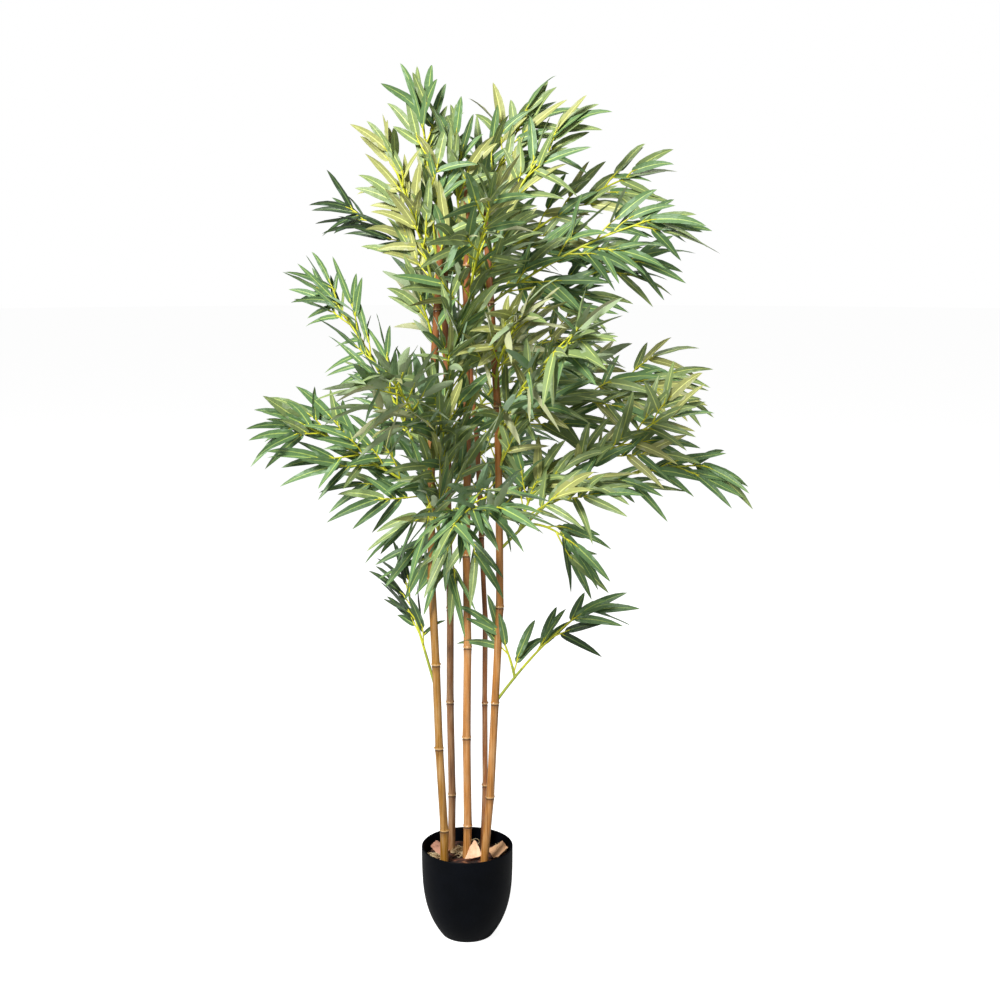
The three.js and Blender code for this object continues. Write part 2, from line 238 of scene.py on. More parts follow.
def revolved(name, profile, segments, materials, shift=None, sharp_degrees=40.0):
    """A closed shape turned round Z from a profile (radius, height) that starts and ends on the
    axis: point = (radius cos a, radius sin a, height). shift may move the points between."""
    profile = np.asarray(profile, dtype=float)
    inner = profile[1:-1, None]
    points = inner[..., :1] * circle(segments)[1] + inner[..., 1:] * UP
    if shift is not None:
        points = shift(points)
    ends = np.array([[0, 0, profile[0, 1]], [0, 0, points[-1, :, 2].mean()]])
    column = np.arange(segments)
    after = (column + 1) % segments
    last = (len(inner) - 1) * segments
    total = len(inner) * segments
    start_fan = np.stack([np.full(segments, total), after, column], axis=1)
    end_fan = np.stack([np.full(segments, total + 1), last + column, last + after], axis=1)
    faces = [grid_faces(len(inner), segments), start_fan, end_fan]
    everything = np.concatenate([points.reshape(-1, 3), ends])
    return put_mesh(name, everything, faces, materials, sharp_degrees=sharp_degrees)


def node_points(name):
    """Every corner of a CAD node, without repeats, in metres."""
    mesh = frame["nodes"][name].data
    places = np.empty(len(mesh.vertices) * 3, dtype=np.float32)
    mesh.vertices.foreach_get("co", places)
    return np.unique(places.reshape(-1, 3).round(6), axis=0).astype(float)


def waves(points, seed, size, count=7):
    """Smooth unevenness from -1 to 1: the mean of sines along seeded directions, about size long."""
    rng = np.random.default_rng(seed)
    ways = unit(rng.normal(size=(count, 3))) * rng.uniform(0.6, 1.6, (count, 1)) * 2 * np.pi / size
    return np.sin(points @ ways.T + rng.uniform(0, 2 * np.pi, count)).mean(axis=-1) * 1.6


# ---- Sizes and colours that a user may change --------------------------------------------------
class BambooPotSettings(bpy.types.PropertyGroup):
    colour: StringProperty(name="Pot colour", description="sRGB hex colour of the plastic",
                           default="#05070b")
    wall: FloatProperty(name="Wall", description="Thickness of the pot's wall", default=2.8 * MM,
                        subtype="DISTANCE")
    rounding: FloatProperty(name="Rounding", description="How quickly the wall turns upright",
                            default=3.6)
    soil_colour: StringProperty(name="Filling colour", description="sRGB hex colour of the filling",
                                default="#3a241b")
    curls: IntProperty(name="Wood wool", description="Number of curls on the filling", default=90)


class BambooCaneSettings(bpy.types.PropertyGroup):
    cane_1: StringProperty(name="Left cane", description="sRGB hex colour, olive gold",
                           default="#a6721f")
    cane_2: StringProperty(name="Left back cane", description="sRGB hex colour, greyish tan",
                           default="#96683f")
    cane_3: StringProperty(name="Middle cane", description="sRGB hex colour, peach tan",
                           default="#c0803c")
    cane_4: StringProperty(name="Right cane", description="sRGB hex colour, golden tan",
                           default="#b5762b")
    cane_5: StringProperty(name="Right back cane", description="sRGB hex colour, copper",
                           default="#995a27")
    top: StringProperty(name="Upper colour", description="sRGB hex colour that canes turn to higher up",
                        default="#8b5230")
    ridge: FloatProperty(name="Joint ridge", description="Height of the ridge round each joint",
                         default=0.95 * MM, subtype="DISTANCE")
    groove: FloatProperty(name="Bud groove", description="Depth of the hollow above each joint",
                          default=0.5 * MM, subtype="DISTANCE")


class BambooSpraySettings(bpy.types.PropertyGroup):
    seed: IntProperty(name="Seed", description="Seed of the branching rule", default=17)
    twig_spacing: FloatProperty(name="Twig spacing", description="Distance along a stem per twig",
                                default=19 * MM, subtype="DISTANCE")
    spread: FloatProperty(name="Spread", description="Reach of the twigs, for a mass's half width",
                          default=1.45)
    droop: FloatProperty(name="Droop", description="How far leaves lean downwards, for their length",
                         default=0.16)
    leaf_length: FloatProperty(name="Leaf length", description="Length of a full-grown leaf",
                               default=85 * MM, subtype="DISTANCE")
    leaf_width: FloatProperty(name="Leaf width", description="Width of a full-grown leaf",
                              default=15.4 * MM, subtype="DISTANCE")
    sag: FloatProperty(name="Leaf sag", description="How far a leaf's tip drops, for its length",
                       default=0.12)


class BambooStageSettings(bpy.types.PropertyGroup):
    camera: FloatVectorProperty(name="Camera", description="Place of the camera", size=3,
                                default=(0.058, -2.4, 1.2), subtype="XYZ")
    pitch: FloatProperty(name="Pitch", description="How far the camera looks down",
                         default=math.radians(9.87), subtype="ANGLE")
    lens: FloatProperty(name="Lens", description="Focal length on a 36 mm sensor", default=51.66)


# ---- Materials ---------------------------------------------------------------------------------
def pot_plastic(colour):
    """Moulded polypropylene, matt black: a fine spark-eroded grain breaks up a soft broad gloss."""
    material, tree, shader, place = new_material("moulded_matt_polypropylene")
    cloud = add(tree, "ShaderNodeTexNoise", {"Vector": place, "Scale": 28.0, "Detail": 4.0})
    tint = ramp(tree, cloud.outputs["Fac"], [(0.3, colour), (0.75, "#090c12")])
    grain = add(tree, "ShaderNodeTexNoise", {"Vector": place, "Scale": 1 / (0.7 * MM), "Detail": 2.0})
    dull = add(tree, "ShaderNodeMapRange",
               {"Value": cloud.outputs["Fac"], "To Min": 0.42, "To Max": 0.58})
    bump = add(tree, "ShaderNodeBump",
               {"Height": grain.outputs["Fac"], "Strength": 0.25, "Distance": 0.15 * MM})
    fill(tree, shader, {"Base Color": tint, "Roughness": dull.outputs["Result"],
                        "Normal": bump.outputs["Normal"], "IOR": 1.49, "Specular IOR Level": 0.07})
    return material


def bamboo_cane(name, colour, upper):
    """Heat-browned bamboo under its natural wax: fibres run the whole internode, a thin dark band of
    painted shade lies in the pinch under each joint, a pale band of painted highlight lies along the
    ridge itself, the canes turn darker and more copper towards their tops, and the wax draws the light
    into a long streak."""
    material, tree, shader, place = new_material(name)
    dark = toned(colour, "#1c0d03", 0.6)
    light = toned(colour, "#f6dcae", 0.34)
    stretched = add(tree, "ShaderNodeMapping", {"Vector": place, "Scale": (1.0, 1.0, 0.03)})
    fibre = add(tree, "ShaderNodeTexNoise",
                {"Vector": stretched.outputs["Vector"], "Scale": 1 / (2.4 * MM), "Detail": 5.0})
    drawn = add(tree, "ShaderNodeMapping", {"Vector": place, "Scale": (1.0, 1.0, 0.2)})
    blotch = add(tree, "ShaderNodeTexNoise",
                 {"Vector": drawn.outputs["Vector"], "Scale": 1 / (12 * MM), "Detail": 3.0,
                  "Roughness": 0.6})
    tint = ramp(tree, fibre.outputs["Fac"], [(0.3, dark), (0.46, colour), (0.7, light)])
    stained = ramp(tree, blotch.outputs["Fac"], [(0.32, dark), (0.5, colour), (0.68, light)])
    height = add(tree, "ShaderNodeSeparateXYZ", {"Vector": place}).outputs["Z"]
    rise = add(tree, "ShaderNodeMapRange", {"Value": height, "From Min": 0.6, "From Max": 1.05,
                                            "To Min": 0.0, "To Max": 0.85})
    # Painted shade: a dark band in the pinch under each joint. Painted highlight: a pale band along
    # each joint's ridge.
    soot = add(tree, "ShaderNodeAttribute", attribute_name="soot").outputs["Fac"]
    worn = add(tree, "ShaderNodeAttribute", attribute_name="worn").outputs["Fac"]
    for factor, over in ((0.4, stained), (rise.outputs["Result"], linear(upper)),
                         (soot, linear("#42240f")), (worn, linear("#d9b27a"))):
        mix = add(tree, "ShaderNodeMix", {MIX_FACTOR: factor, MIX_A: tint, MIX_B: over},
                  data_type="RGBA")
        tint = mix.outputs[MIX_RESULT]
    wax = add(tree, "ShaderNodeMapRange",
              {"Value": blotch.outputs["Fac"], "To Min": 0.24, "To Max": 0.46})
    bump = add(tree, "ShaderNodeBump",
               {"Height": fibre.outputs["Fac"], "Strength": 0.35, "Distance": 0.25 * MM})
    fill(tree, shader, {"Base Color": tint, "Roughness": wax.outputs["Result"],
                        "Normal": bump.outputs["Normal"], "Specular IOR Level": 0.5,
                        "Coat Weight": 0.25, "Coat Roughness": 0.16})
    return material


def dyed_polyester(name, colour, roughness=0.5):
    """Leaf fabric: dyed polyester pressed in a hot mould and stiffened with a light resin. The
    press leaves pleats along the blade, the weave a fine grain, and handling shallow dents, so a
    blade catches the light unevenly; its finish is satin. The pleats and the weave are drawn two
    or three times as coarse as the real ones, or they wouldn't show."""
    material, tree, shader, place = new_material(name)
    across = add(tree, "ShaderNodeAttribute", attribute_name="across").outputs["Fac"]
    turns = add(tree, "ShaderNodeMath", {0: across, 1: 2 * math.pi / (2.6 * MM)}, operation="MULTIPLY")
    pleats = add(tree, "ShaderNodeMath", {0: turns.outputs["Value"]}, operation="SINE")
    weave = add(tree, "ShaderNodeTexNoise", {"Vector": place, "Scale": 1 / (0.9 * MM), "Detail": 1.0})
    dents = add(tree, "ShaderNodeTexNoise", {"Vector": place, "Scale": 1 / (8 * MM), "Detail": 2.0})
    fine = add(tree, "ShaderNodeMath", {0: pleats.outputs["Value"], 1: 0.35, 2: weave.outputs["Fac"]},
               operation="MULTIPLY_ADD")
    grain = add(tree, "ShaderNodeBump",
                {"Height": fine.outputs["Value"], "Strength": 0.45, "Distance": 0.3 * MM})
    bump = add(tree, "ShaderNodeBump", {"Height": dents.outputs["Fac"], "Strength": 0.6,
                                        "Distance": 2.0 * MM, "Normal": grain.outputs["Normal"]})
    satin = add(tree, "ShaderNodeMapRange", {"Value": dents.outputs["Fac"],
                                             "To Min": roughness - 0.14, "To Max": roughness + 0.16})
    fill(tree, shader, {"Roughness": satin.outputs["Result"], "Normal": bump.outputs["Normal"],
                        "Base Color": linear(colour), "Specular IOR Level": 0.5,
                        "Sheen Weight": 0.15, "Sheen Roughness": 0.5})
    return material


def moulded_polyethylene(name, colour):
    """Stems and twigs: polyethylene moulded over wire. It is smooth and a little waxy, with faint
    sinks where it cooled, so its soft gloss wavers along a stem."""
    material, tree, shader, place = new_material(name)
    sinks = add(tree, "ShaderNodeTexNoise", {"Vector": place, "Scale": 1 / (5 * MM), "Detail": 2.0})
    gloss = add(tree, "ShaderNodeMapRange",
                {"Value": sinks.outputs["Fac"], "To Min": 0.32, "To Max": 0.52})
    bump = add(tree, "ShaderNodeBump",
               {"Height": sinks.outputs["Fac"], "Strength": 0.4, "Distance": 0.6 * MM})
    fill(tree, shader, {"Roughness": gloss.outputs["Result"], "Normal": bump.outputs["Normal"],
                        "Base Color": linear(colour), "IOR": 1.51})
    return material


def stained_mortar(colour):
    """The filling: coarse mortar stained dark brown, with grit and crumbs of bark on it."""
    material, tree, shader, place = new_material("stained_mortar")
    grit = add(tree, "ShaderNodeTexVoronoi", {"Vector": place, "Scale": 1 / (4 * MM)})
    crumbs = add(tree, "ShaderNodeTexNoise", {"Vector": place, "Scale": 1 / (9 * MM), "Detail": 6.0})
    tint = ramp(tree, crumbs.outputs["Fac"],
                [(0.3, "#160e0b"), (0.48, colour), (0.62, "#5e3323"), (0.72, "#8d5f3f")])
    bump = add(tree, "ShaderNodeBump",
               {"Height": grit.outputs["Distance"], "Strength": 0.8, "Distance": 1.5 * MM})
    fill(tree, shader, {"Base Color": tint, "Normal": bump.outputs["Normal"], "Roughness": 0.9})
    return material


def kraft_card(name, colour, dark):
    """Torn packing card: unbleached fibres give faint flecks and a dry matt face."""
    material, tree, shader, place = new_material(name)
    fibres = add(tree, "ShaderNodeTexNoise", {"Vector": place, "Scale": 1 / (1.2 * MM), "Detail": 5.0})
    stain = add(tree, "ShaderNodeTexNoise", {"Vector": place, "Scale": 1 / (14 * MM), "Detail": 2.0})
    both = add(tree, "ShaderNodeMath", {0: fibres.outputs["Fac"], 1: stain.outputs["Fac"]},
               operation="ADD")
    tint = ramp(tree, both.outputs["Value"], [(0.72, dark), (1.0, colour)])
    bump = add(tree, "ShaderNodeBump",
               {"Height": fibres.outputs["Fac"], "Strength": 0.3, "Distance": 0.2 * MM})
    fill(tree, shader, {"Base Color": tint, "Normal": bump.outputs["Normal"], "Roughness": 0.85})
    return material


def wood_wool():
    """Shaved poplar curls used as packing: pale, dry, slightly silky along the cut."""
    material, tree, shader, place = new_material("shaved_wood_wool")
    tone = add(tree, "ShaderNodeTexNoise", {"Vector": place, "Scale": 1 / (12 * MM), "Detail": 2.0})
    tint = ramp(tree, tone.outputs["Fac"], [(0.35, "#b08d5f"), (0.6, "#e4cfa4")])
    fill(tree, shader, {"Base Color": tint, "Roughness": 0.7})
    return material


# ---- Pot, filling, card and wood wool ----------------------------------------------------------
def pot_sizes():
    """Height, rim radius and foot radius of the pot, and the filling's surface height."""
    corners = node_points("pot")
    reach = from_axis(corners)
    height = corners[:, 2].max()
    foot = reach[corners[:, 2] < 1e-5].max()
    return height, reach.max(), foot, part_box("filling")[1].z


def wall_radius(heights, settings):
    """Outer radius of the pot: foot + (rim - foot) (1 - (1 - height / top) ^ rounding)."""
    top, rim, foot, _ = pot_sizes()
    left = np.clip(1 - np.asarray(heights) / top, 0, 1)
    return foot + (rim - foot) * (1 - left**settings.rounding)


class BAMBOO_OT_pot(bpy.types.Operator):
    """Turn the pot: a smooth wall with a rounded lip and a softened edge round its flat foot"""

    bl_idname = "bamboo.pot"
    bl_label = "Pot"

    def execute(self, context):
        settings = context.scene.bamboo_pot
        top, _, foot, _ = pot_sizes()
        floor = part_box("filling")[0].z - 0.3 * MM
        lip = settings.wall / 2
        outside = (np.linspace(0, 1, 40) ** 1.5) * (top - lip)
        inside = (np.linspace(1, 0, 36) ** 1.5) * (top - lip - floor) + floor
        turn = np.linspace(0, np.pi, 9)[1:-1]
        middle = wall_radius(top - lip, settings) - lip
        outer = np.stack([wall_radius(outside, settings), outside], axis=1)
        bead = np.stack([middle + lip * np.cos(turn), top - lip + lip * np.sin(turn)], axis=1)
        inner = np.stack([wall_radius(inside, settings) - settings.wall, inside], axis=1)
        foot_edge = np.array([[foot - 9 * MM, 0], [foot - 2 * MM, 0]])
        outer[0] += (0.4 * MM, 0.6 * MM)
        profile = np.concatenate([[[0, 0]], foot_edge, outer, bead, inner, [[0, floor]]])
        material = pot_plastic(settings.colour)
        settle(revolved("pot_wall", profile, 112, [material]), "pot_plastic", "pot")
        return {"FINISHED"}


class BAMBOO_OT_filling(bpy.types.Operator):
    """Fill the pot: an uneven mortar plug, torn card and curls of wood wool on it"""

    bl_idname = "bamboo.filling"
    bl_label = "Filling"

    def execute(self, context):
        settings = context.scene.bamboo_pot
        surface = pot_sizes()[3]
        self.plug(settings, surface)
        colours = {
            "card_left": ("#c8937a", "#94664f", 0.35),
            # card_middle's pale peach is brighter than the card's own colour: painted light, so that it
            # shows lit down in the dim pot.
            "card_middle": ("#ffd2ac", "#efb78c", 0.9),
            "card_right": ("#d3a67c", "#a97b52", 0.25),
        }
        for seed, name in enumerate(CARDS):
            colour, dark, taper = colours[name]
            self.card(name, kraft_card(f"kraft_{name}", colour, dark), seed, taper)
        self.curls(settings, surface)
        return {"FINISHED"}

    def plug(self, settings, surface):
        """The plug follows the pot's inner wall; its top rises and falls by a few millimetres."""
        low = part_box("filling")[0].z
        heights = np.linspace(low, surface - 2 * MM, 14)
        side = np.stack([wall_radius(heights, settings) - settings.wall - 0.3 * MM, heights], axis=1)
        rim = side[-1, 0]
        across = np.linspace(rim - 0.6 * MM, 1.5 * MM, 34)
        top = np.stack([across, np.full_like(across, surface - 1 * MM)], axis=1)
        profile = np.concatenate([[[0, low]], side, top, [[0, surface - 1 * MM]]])

        def crumble(points):
            inside = np.clip((rim - from_axis(points)) / (8 * MM), 0, 1)
            flat = points[..., 2] > surface - 1.5 * MM
            lumps = waves(points, 3, 38 * MM) * 1.6 * MM + waves(points, 4, 9 * MM) * 0.9 * MM
            points[..., 2] += np.where(flat, lumps * inside, 0)
            return points

        material = stained_mortar(settings.soil_colour)
        settle(revolved("filling_plug", profile, 120, [material], crumble), "filling_mortar", "filling")

    def card(self, name, material, seed, taper):
        """A torn plate that loses its taper, a share of its width, from its inner end to its
        outer one. Its edge wanders by a millimetre or two, and it curls up by
        bend (u^2 - v^2 / 2) along its length u and width v."""
        corners = node_points(name)
        middle = (corners.min(axis=0) + corners.max(axis=0)) / 2
        _, _, axes = np.linalg.svd(corners - middle, full_matrices=False)
        up = axes[2] * np.sign(axes[2][2])
        outward = unit(middle * (1, 1, 0))
        along = unit(outward - (outward @ up) * up)
        across = np.cross(up, along)
        half_u = np.abs((corners - middle) @ along).max()
        half_v = np.abs((corners - middle) @ across).max()
        rows, columns = 26, 22
        u, v = np.meshgrid(np.linspace(-1, 1, rows), np.linspace(-1, 1, columns), indexing="ij")
        flat = np.stack([u, v, np.full_like(u, seed)], axis=-1)
        fray = 1 + 0.05 * waves(flat, 20 + seed, 0.5) + 0.1 * waves(flat, 30 + seed, 2.2)
        narrow = 1 - taper * (u + 1) / 2
        reach_u, reach_v = u * half_u * 0.94 * fray, v * half_v * 0.94 * fray * narrow
        curl = (2.2 * u**2 - 1.4 * v**2) * MM + 0.5 * MM * waves(flat, 40 + seed, 1.1)
        top = middle + reach_u[..., None] * along + reach_v[..., None] * across
        top = top + (curl[..., None] + 1.2 * MM) * up
        low = top - 0.9 * MM * up
        points = np.concatenate([top.reshape(-1, 3), low.reshape(-1, 3)])
        face = grid_faces(rows, columns, closed_columns=False)
        count = rows * columns
        index = np.arange(count).reshape(rows, columns)
        border = np.concatenate([index[0], index[1:, -1], index[-1, -2::-1], index[-2:0:-1, 0]])
        after = np.roll(border, -1)
        wall = np.stack([border, border + count, after + count, after], axis=1)
        faces = [face[:, ::-1], face + count, wall[:, ::-1]]
        piece = put_mesh(name + "_torn", points, faces, [material], sharp_degrees=50.0)
        settle(piece, "card_scrap", name)

    def curls(self, settings, surface):
        """Wood wool: each curl is an arc that opens as it runs, lying in its own tilted plane:
        point = centre + radius (cos a u + sin a v) + a drift along the filling."""
        rng = np.random.default_rng(8)
        count = settings.curls
        nests = np.array([[-66, -8], [-12, 22], [56, 34], [-20, -52], [18, 62], [46, -44]]) * MM
        share = np.array([0.24, 0.3, 0.16, 0.1, 0.1, 0.1])
        nest = nests[rng.choice(len(nests), count, p=share)]
        centre = np.concatenate([nest + rng.normal(0, 7 * MM, (count, 2)), np.zeros((count, 1))], 1)
        centre[:, :2] *= np.minimum(1, 67 * MM / from_axis(centre))[:, None]
        centre[:, 2] = surface + rng.uniform(1.5, 6.0, count) * MM
        turns = rng.uniform(0.5, 1.5, count)[:, None] * 2 * np.pi
        rings = 22
        step = np.linspace(0, 1, rings)[None]
        angle = rng.uniform(0, 2 * np.pi, (count, 1)) + turns * step
        radius = rng.uniform(3.5, 8.0, (count, 1)) * MM * (1 + 0.5 * step)
        tilt = unit(rng.normal(size=(count, 3)) * (0.5, 0.5, 0.16) + UP)
        u = unit(np.cross(tilt, [1.0, 0.1, 0.0]))
        v = np.cross(tilt, u)
        paths = centre[:, None] + radius[..., None] * (
            np.cos(angle)[..., None] * u[:, None] + np.sin(angle)[..., None] * v[:, None]
        )
        paths += (step * rng.uniform(-6, 6, (count, 1)) * MM)[..., None] * unit(
            rng.normal(size=(count, 3)) * (1, 1, 0.1)
        )[:, None]
        limit = wall_radius(surface, settings) - settings.wall - 2 * MM
        paths[..., :2] *= np.minimum(1, limit / from_axis(paths))[..., None]
        paths[..., 2] = np.maximum(paths[..., 2], surface + 0.4 * MM)
        thick = np.full((count, rings), 0.5 * MM) * (1 - 0.5 * np.abs(2 * step - 1) ** 4)
        points, faces = tubes(paths, thick, 5)
        piece = put_mesh("wood_wool_curls", points, faces, [wood_wool()])
        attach(piece, "root")


# ---- Canes -------------------------------------------------------------------------------------
def cane_line(name):
    """Centres, radii and joint heights of a cane, read level by level from its CAD solid."""
    corners = node_points(name)
    levels = np.unique(corners[:, 2].round(4))
    centres, radii = [], []
    for level in levels:
        ring = corners[np.abs(corners[:, 2] - level) < 0.2 * MM]
        centres.append(ring.mean(axis=0))
        radii.append(np.linalg.norm(ring - ring.mean(axis=0), axis=1).max())
    centres, radii = np.array(centres), np.array(radii)
    swollen = (radii[1:-1] > radii[:-2] + 0.4 * MM) & (radii[1:-1] > radii[2:] + 0.4 * MM)
    return centres, radii, levels[1:-1][swollen]


def along_cane(name, heights):
    """Places on a cane's centre line at these heights."""
    centres, _, _ = cane_line(name)
    return along_path(heights, centres[:, 2], centres)


class BAMBOO_OT_canes(bpy.types.Operator):
    """Raise the canes, with a ridge, a sheath scar and a bud groove at every joint"""

    bl_idname = "bamboo.canes"
    bl_label = "Canes"

    def execute(self, context):
        settings = context.scene.bamboo_canes
        slots = {entry["node"]: entry["material_slot"] for entry in frame["record"]["subparts"]}
        for seed, name in enumerate(CANES):
            material = bamboo_cane(f"heat_browned_bamboo_{name}", getattr(settings, name), settings.top)
            self.cane(name, settings, material, slots[name], seed)
        return {"FINISHED"}

    def cane(self, name, settings, material, slot, seed):
        """A tube along the cane's line. At a distance d above a joint, in millimetres, its radius
        is taper + ridge (bell(d, 0, 1.5) + 0.45 bell(d, -5, 1.4) - 0.35 bell(d, -2.6, 1)
        + 0.4 bell(d, 0, 13)). The second is the sheath scar and the third the pinch between. On
        one side above the joint there is a groove and a bud, and the whole is slightly oval."""
        centres, radii, joints = cane_line(name)
        bottom, top = centres[0, 2] - 5 * MM, centres[-1, 2]
        # Levels are closest together round each joint, where the outline turns most.
        close = np.array([-14, -10, -8, -6.6, -5.8, -5, -4.2, -3.4, -2.6, -1.8, -1.2, -0.6, 0, 0.6,
                          1.2, 1.8, 2.6, 4, 7, 11]) * MM
        levels = np.concatenate([np.linspace(bottom, top, 90), (joints[:, None] + close).ravel()])
        levels = np.sort(levels[(levels >= bottom) & (levels <= top)])
        levels = levels[np.concatenate([[True], np.diff(levels) > 0.3 * MM])]
        plain = np.abs(centres[:, None, 2] - joints[None]).min(axis=1) > 1 * MM
        taper = np.interp(levels, centres[plain, 2], radii[plain])
        nearest = np.abs(levels[:, None] - joints[None]).argmin(axis=1)
        gap = (levels - joints[nearest]) / MM
        bumps = bell(gap, 0, 1.5) + 0.45 * bell(gap, -5, 1.4)
        bumps += 0.4 * bell(gap, 0, 13) - 0.35 * bell(gap, -2.6, 1)
        bumps *= settings.ridge
        sides = 30
        angle, ring = circle(sides)
        side = (seed * 2.4 + nearest * np.pi)[:, None]
        facing = np.cos(angle[None] - side)
        groove = settings.groove * np.exp(-np.clip(gap, 0, 90) / 34)[:, None]
        groove = groove * (gap > 1.5)[:, None] * np.clip(facing, 0, 1) ** 6
        bud = 1.0 * MM * bell(gap, 1.2, 1.6)[:, None] * np.clip(facing, 0, 1) ** 14
        line = along_path(levels, centres[:, 2], centres)
        line[:, 2] = levels
        points = line[:, None] + taper[:, None, None] * ring
        oval = waves(points / (1, 1, 6), 50 + seed, 30 * MM) * 0.16 * MM
        reach = (bumps[:, None] - groove + bud + oval)[..., None]
        points = points + reach * ring
        cap = np.arange(sides)
        faces = [grid_faces(len(levels), sides), np.stack([cap[::-1], cap + (len(levels) - 1) * sides])]
        piece = put_mesh(name + "_culm", points, faces, [material], sharp_degrees=60.0)
        # Painted shade in the pinch under each joint ridge and a painted highlight along the ridge,
        # stored per ring.
        soot = 0.85 * bell(gap, -2.8, 1.3) + 0.25 * bell(gap, -6, 6)
        worn = 0.8 * bell(gap, -0.2, 1.3)
        for mark, value in (("soot", soot), ("worn", worn)):
            put_mark(piece, mark, np.repeat(value.clip(0, 1), sides))
        settle(piece, slot, name)


# ---- Sprays ------------------------------------------------------------------------------------
def cane_candidates():
    """Closely spaced places on every cane's centre line and every moulded stem."""
    found = []
    for name in CANES:
        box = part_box(name)
        found.append(along_cane(name, np.arange(box[0].z, box[1].z, 4 * MM)))
    for name in STEMS:
        found.append(node_points(name))
    return np.concatenate(found)


def spray_lines():
    """For each mass of leaves: the line of its stem from its cane to its tip, where the leaves
    begin, the half width of the mass, and the direction of its width. The line is the cubic
    that best fits the stem's ends, and the start, middle and tip of the mass."""
    candidates = cane_candidates()
    lines = []
    for name in LEAVES:
        mass = node_points(name)
        stem = name.replace("leaves_", "stem_")
        if stem in frame["nodes"]:
            wood = node_points(stem)
            _, _, axes = np.linalg.svd(wood - wood.mean(axis=0), full_matrices=False)
            order = (wood - wood.mean(axis=0)) @ axes[0]
            ends = [wood[order < order.min() + 6 * MM].mean(axis=0),
                    wood[order > order.max() - 6 * MM].mean(axis=0)]
            ends.sort(key=lambda end: -np.linalg.norm(end - mass.mean(axis=0)))
            start, base = ends
            away = unit(start - wood.mean(axis=0))
            known = [start + away * 7 * MM, start, wood.mean(axis=0), base]
        else:
            ends = mass[[mass[:, 2].argmin(), mass[:, 2].argmax()]]
            away = np.linalg.norm(ends[:, None] - candidates[None], axis=2).min(axis=1)
            base = ends[away.argmin()]
            tip = mass[np.linalg.norm(mass - base, axis=1).argmax()]
            below = base - 34 * MM * unit(tip - base)
            start = candidates[np.linalg.norm(candidates - below, axis=1).argmin()]
            known = [start, start * 0.35 + base * 0.65, base]
        tip = mass[np.linalg.norm(mass - base, axis=1).argmax()]
        share = (mass - base) @ unit(tip - base) / np.linalg.norm(tip - base)
        for low, high in ((0.25, 0.5), (0.5, 0.75)):
            inside = (share > low) & (share < high)
            if inside.sum() > 4:
                known.append(mass[inside].mean(axis=0))
        known = np.array([*known, tip])
        run = np.concatenate([[0], np.cumsum(np.linalg.norm(np.diff(known, axis=0), axis=1))])
        weight = np.ones(len(known))
        weight[[0, -1]] = 8
        cubic = np.stack([np.polyfit(run / run[-1], known[:, i], 3, w=weight) for i in range(3)])
        along = unit(tip - base)
        spread = mass - mass.mean(axis=0)
        spread = spread - (spread @ along)[:, None] * along
        _, _, axes = np.linalg.svd(spread, full_matrices=False)
        width, thick = axes[0], axes[1]
        half = np.percentile(np.abs(spread @ width), 97)
        thin = np.percentile(np.abs(spread @ thick), 97)
        begins = np.linalg.norm(known[: len(known) - 1] - base, axis=1).argmin()
        lines.append({
            "name": name, "cubic": cubic, "length": run[-1], "begins": run[begins] / run[-1],
            "width": width, "half": half, "thick": thin,
        })
    return lines


def on_line(cubic, share):
    """Places on a cubic line at these shares of its length."""
    share = np.asarray(share, dtype=float)
    powers = share[..., None] ** np.arange(3, -1, -1)
    return powers @ cubic.T


GREENS = {
    # family: blade, its lighter vein, pale back
    "young": ("#a0a45f", "#dade86", "#aeb285"),
    "fresh": ("#7b9055", "#c0ce74", "#93a57b"),
    "full": ("#60824d", "#a9c066", "#7c9872"),
    "deep": ("#4a693b", "#93ae5b", "#68835d"),
    "shade": ("#2b4220", "#65823f", "#465f43"),
}
# The darkness of a spray's greens, in families, goes by its height: darkest low down, even through the
# middle and lightest at the top. Further back it is darker, by this much for each metre of depth, which
# is painted shade, and some sprays are darker or lighter than their place tells.
PAINTED_SHADE_PER_DEPTH = 1.9
DARKNESS_HEIGHTS = (0.6, 0.9, 1.2, 1.33, 1.45)
DARKNESS_BY_HEIGHT = (1.9, 1.2, 1.2, 1.0, 0.1)
# Painted shade as well: left_back, at the back, is shifted darkest.
DARKNESS_SHIFTS = {
    "leaves_low_left": 1.9, "leaves_low_right": 1.2, "leaves_left_low": 1.5, "leaves_left_back": 2.4,
    "leaves_left_middle": 1.0, "leaves_low_middle": 0.5, "leaves_low_fringe": 1.1,
    "leaves_front_low": 0.6, "leaves_front_stem": -0.5, "leaves_front_middle": -0.5,
    "leaves_front_right": -0.4, "leaves_right_upper": 0.6, "leaves_right_high": 0.4,
    "leaves_right_low": 0.2, "leaves_top_left": -0.4, "leaves_top_outer": -0.6,
}
# Some sprays carry more twigs for their length than the rest.
FULLNESS = {
    "leaves_top_outer": 1.5, "leaves_top_left": 1.2, "leaves_top_far": 1.2, "leaves_top_right": 1.2,
    "leaves_low_middle": 1.3, "leaves_right_inner": 1.5,
    "leaves_front_stem": 1.4, "leaves_front_middle": 1.4, "leaves_left_middle": 1.15,
    "leaves_middle_right": 1.3, "leaves_low_inner": 1.3, "leaves_low_left": 1.6,
}
# The leaves of some sprays are narrower, and the twigs of some stand wider, than the rest.
LEAF_WIDTHS = {"leaves_left_middle": 0.72, "leaves_low_left": 0.75, "leaves_left_back": 0.75}
TWIG_LEANS = {"leaves_low_fringe": 1.5, "leaves_low_middle": 1.35, "leaves_low_inner": 1.35}
# A leaf may stand this far outside the box of the solids, sideways and at the top.
PROUD = np.array([20.0, 20.0, 6.0]) * MM
# A leaf's run along the depth is cut to this share, so that the crown's front shows whole blades.
DEPTH_SHARE = 0.65

